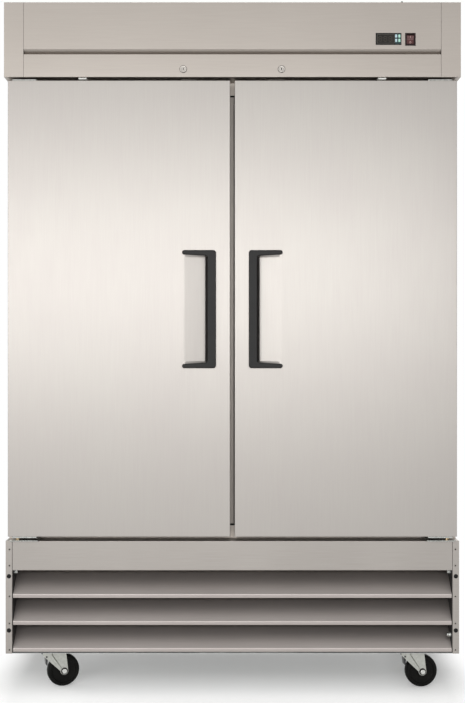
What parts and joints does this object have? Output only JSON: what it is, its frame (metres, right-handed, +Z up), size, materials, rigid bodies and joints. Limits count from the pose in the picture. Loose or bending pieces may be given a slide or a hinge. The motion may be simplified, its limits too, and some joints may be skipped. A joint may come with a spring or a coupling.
{
  "type": "upright refrigerator",
  "caption": "Two-door commercial reach-in refrigerator with recessed handles, top controls, louvred base and swivel casters.",
  "frame": {"origin": "floor level under the middle of the cabinet", "axes": "+Z up along the height, +X to the right seen from the front, +Y from the doors to the back panel"},
  "size_m": [1.372, 0.82, 2.095],
  "materials": {
    "stainless_skin": "brushed stainless steel sheet, warm silver, soft vertical grain",
    "stainless_dark": "stainless steel sheet, grey-brown in the door gap",
    "galvanised": "zinc-coated steel sheet, dull",
    "zinc_fittings": "zinc-plated steel, satin",
    "chrome_wire": "bright plated steel wire",
    "white_liner": "white painted aluminium sheet",
    "foam": "pale yellow rigid foam",
    "black_plastic": "black moulded plastic, satin",
    "handle_plastic": "black moulded plastic, slightly glossy",
    "white_plastic": "white moulded plastic",
    "lit_blue_key": "lit translucent key, bluish white",
    "lit_green_key": "lit translucent key, greenish white",
    "red_rocker": "dull red plastic, smooth",
    "lock_metal": "plated lock parts",
    "gasket_rubber": "dark grey soft vinyl",
    "brass_fitting": "plain brass",
    "fan_plastic": "black moulded plastic",
    "coil_aluminium": "bare aluminium fins",
    "black_enamel": "black baked enamel",
    "copper": "bare copper tube",
    "caster_steel": "zinc-plated pressed steel",
    "wheel_rubber": "black polyurethane tread and hub"
  },
  "bodies": {
    "cabinet": {"side_panels": "stainless_skin", "back_panel": "galvanised", "top_panel": "galvanised", "insulation_foam": "foam", "inner_liner": "white_liner", "face_frame": "stainless_skin", "centre_mullion": "stainless_dark", "header_fascia": "stainless_skin", "header_rail": "stainless_skin", "control_cases": "black_plastic", "lock_barrels": "lock_metal", "door_switches": "white_plastic", "hinge_brackets": "zinc_fittings", "hinge_cartridges": "brass_fitting", "shelf_supports": "galvanised", "wire_shelves": "chrome_wire", "evaporator_cover": "white_liner", "evaporator_coil": "coil_aluminium", "fan_motors": "black_enamel", "light_bar": "white_plastic", "base_frame": "galvanised", "base_front_strip": "stainless_skin", "louvre_panel": "stainless_skin", "hole_plugs": "black_plastic", "compressor": "black_enamel", "condenser": "coil_aluminium", "copper_lines": "copper", "electrical_box": "galvanised", "caster_plates": "caster_steel"},
    "door_left": {"door_skin_left": "stainless_skin", "door_foam_left": "foam", "door_liner_left": "white_liner", "door_gasket_left": "gasket_rubber", "door_handle_left": "handle_plastic", "hinge_leaves_left": "zinc_fittings"},
    "door_right": {"door_skin_right": "stainless_skin", "door_foam_right": "foam", "door_liner_right": "white_liner", "door_gasket_right": "gasket_rubber", "door_handle_right": "handle_plastic", "hinge_leaves_right": "zinc_fittings"},
    "lock_plug_left": {"lock_plug_left": "lock_metal"},
    "lock_plug_right": {"lock_plug_right": "lock_metal"},
    "rocker": {"rocker_paddle": "red_rocker"},
    "push_button_1": {"push_button_1": "lit_blue_key"},
    "push_button_2": {"push_button_2": "lit_blue_key"},
    "push_button_3": {"push_button_3": "lit_green_key"},
    "push_button_4": {"push_button_4": "lit_green_key"},
    "caster_front_left": {"caster_fork_front_left": "caster_steel"},
    "wheel_front_left": {"caster_wheel_front_left": "wheel_rubber"},
    "brake_front_left": {"brake_pedal_front_left": "black_enamel"},
    "caster_front_right": {"caster_fork_front_right": "caster_steel"},
    "wheel_front_right": {"caster_wheel_front_right": "wheel_rubber"},
    "brake_front_right": {"brake_pedal_front_right": "black_enamel"},
    "caster_rear_left": {"caster_fork_rear_left": "caster_steel"},
    "wheel_rear_left": {"caster_wheel_rear_left": "wheel_rubber"},
    "caster_rear_right": {"caster_fork_rear_right": "caster_steel"},
    "wheel_rear_right": {"caster_wheel_rear_right": "wheel_rubber"},
    "evaporator_fan": {"evaporator_fan": "fan_plastic"},
    "condenser_fan": {"condenser_fan": "fan_plastic"}
  },
  "joints": [
    {"name": "door_left_hinge", "type": "hinge", "parent": "cabinet", "child": "door_left", "pos_m": [-0.6506, -0.3725, 1.1729], "axis": [0, 0, -1], "range_deg": [0, 110], "stiffness_Nm_per_rad": 2, "springref_deg": -28.65},
    {"name": "door_right_hinge", "type": "hinge", "parent": "cabinet", "child": "door_right", "pos_m": [0.6506, -0.3725, 1.1729], "axis": [0, 0, 1], "range_deg": [0, 110], "stiffness_Nm_per_rad": 2, "springref_deg": -28.65},
    {"name": "lock_left_turn", "type": "hinge", "parent": "cabinet", "child": "lock_plug_left", "pos_m": [-0.1475, -0.39, 1.8897], "axis": [0, 1, 0], "range_deg": [0, 90]},
    {"name": "lock_right_turn", "type": "hinge", "parent": "cabinet", "child": "lock_plug_right", "pos_m": [0.1475, -0.39, 1.8897], "axis": [0, -1, 0], "range_deg": [0, 90]},
    {"name": "rocker_tilt", "type": "hinge", "parent": "cabinet", "child": "rocker", "pos_m": [0.5343, -0.403, 1.979], "axis": [-1, 0, 0], "range_deg": [0, 18]},
    {"name": "push_button_1_press", "type": "slide", "parent": "cabinet", "child": "push_button_1", "axis": [0, 1, 0], "range_m": [0, 0.0008], "stiffness_N_per_m": 600, "springref_m": -0.0004},
    {"name": "push_button_2_press", "type": "slide", "parent": "cabinet", "child": "push_button_2", "axis": [0, 1, 0], "range_m": [0, 0.0008], "stiffness_N_per_m": 600, "springref_m": -0.0004},
    {"name": "push_button_3_press", "type": "slide", "parent": "cabinet", "child": "push_button_3", "axis": [0, 1, 0], "range_m": [0, 0.0008], "stiffness_N_per_m": 600, "springref_m": -0.0004},
    {"name": "push_button_4_press", "type": "slide", "parent": "cabinet", "child": "push_button_4", "axis": [0, 1, 0], "range_m": [0, 0.0008], "stiffness_N_per_m": 600, "springref_m": -0.0004},
    {"name": "caster_front_left_swivel", "type": "hinge", "parent": "cabinet", "child": "caster_front_left", "pos_m": [-0.557, -0.288, 0.115], "axis": [0, 0, 1], "continuous": true},
    {"name": "wheel_front_left_roll", "type": "hinge", "parent": "caster_front_left", "child": "wheel_front_left", "pos_m": [-0.52899, -0.27725, 0.05], "axis": [-0.3584, 0.9336, 0], "continuous": true},
    {"name": "brake_front_left_press", "type": "hinge", "parent": "caster_front_left", "child": "brake_front_left", "pos_m": [-0.58034, -0.29696, 0.098], "axis": [0.3584, -0.9336, 0], "range_deg": [0, 12]},
    {"name": "caster_front_right_swivel", "type": "hinge", "parent": "cabinet", "child": "caster_front_right", "pos_m": [0.557, -0.288, 0.115], "axis": [0, 0, 1], "continuous": true},
    {"name": "wheel_front_right_roll", "type": "hinge", "parent": "caster_front_right", "child": "wheel_front_right", "pos_m": [0.58678, -0.28434, 0.05], "axis": [-0.1219, 0.9925, 0], "continuous": true},
    {"name": "brake_front_right_press", "type": "hinge", "parent": "caster_front_right", "child": "brake_front_right", "pos_m": [0.53219, -0.29105, 0.098], "axis": [0.1219, -0.9925, 0], "range_deg": [0, 12]},
    {"name": "caster_rear_left_swivel", "type": "hinge", "parent": "cabinet", "child": "caster_rear_left", "pos_m": [-0.557, 0.312, 0.115], "axis": [0, 0, 1], "continuous": true},
    {"name": "wheel_rear_left_roll", "type": "hinge", "parent": "caster_rear_left", "child": "wheel_rear_left", "pos_m": [-0.52766, 0.31824, 0.05], "axis": [-0.2079, 0.9781, 0], "continuous": true},
    {"name": "caster_rear_right_swivel", "type": "hinge", "parent": "cabinet", "child": "caster_rear_right", "pos_m": [0.557, 0.312, 0.115], "axis": [0, 0, 1], "continuous": true},
    {"name": "wheel_rear_right_roll", "type": "hinge", "parent": "caster_rear_right", "child": "wheel_rear_right", "pos_m": [0.58584, 0.32027, 0.05], "axis": [-0.2756, 0.9613, 0], "continuous": true},
    {"name": "evaporator_fan_spin", "type": "hinge", "parent": "cabinet", "child": "evaporator_fan", "pos_m": [0, 0.045, 1.928], "axis": [0, 1, 0], "continuous": true},
    {"name": "condenser_fan_spin", "type": "hinge", "parent": "cabinet", "child": "condenser_fan", "pos_m": [-0.365, -0.206, 0.273], "axis": [0, 1, 0], "continuous": true}
  ]
}
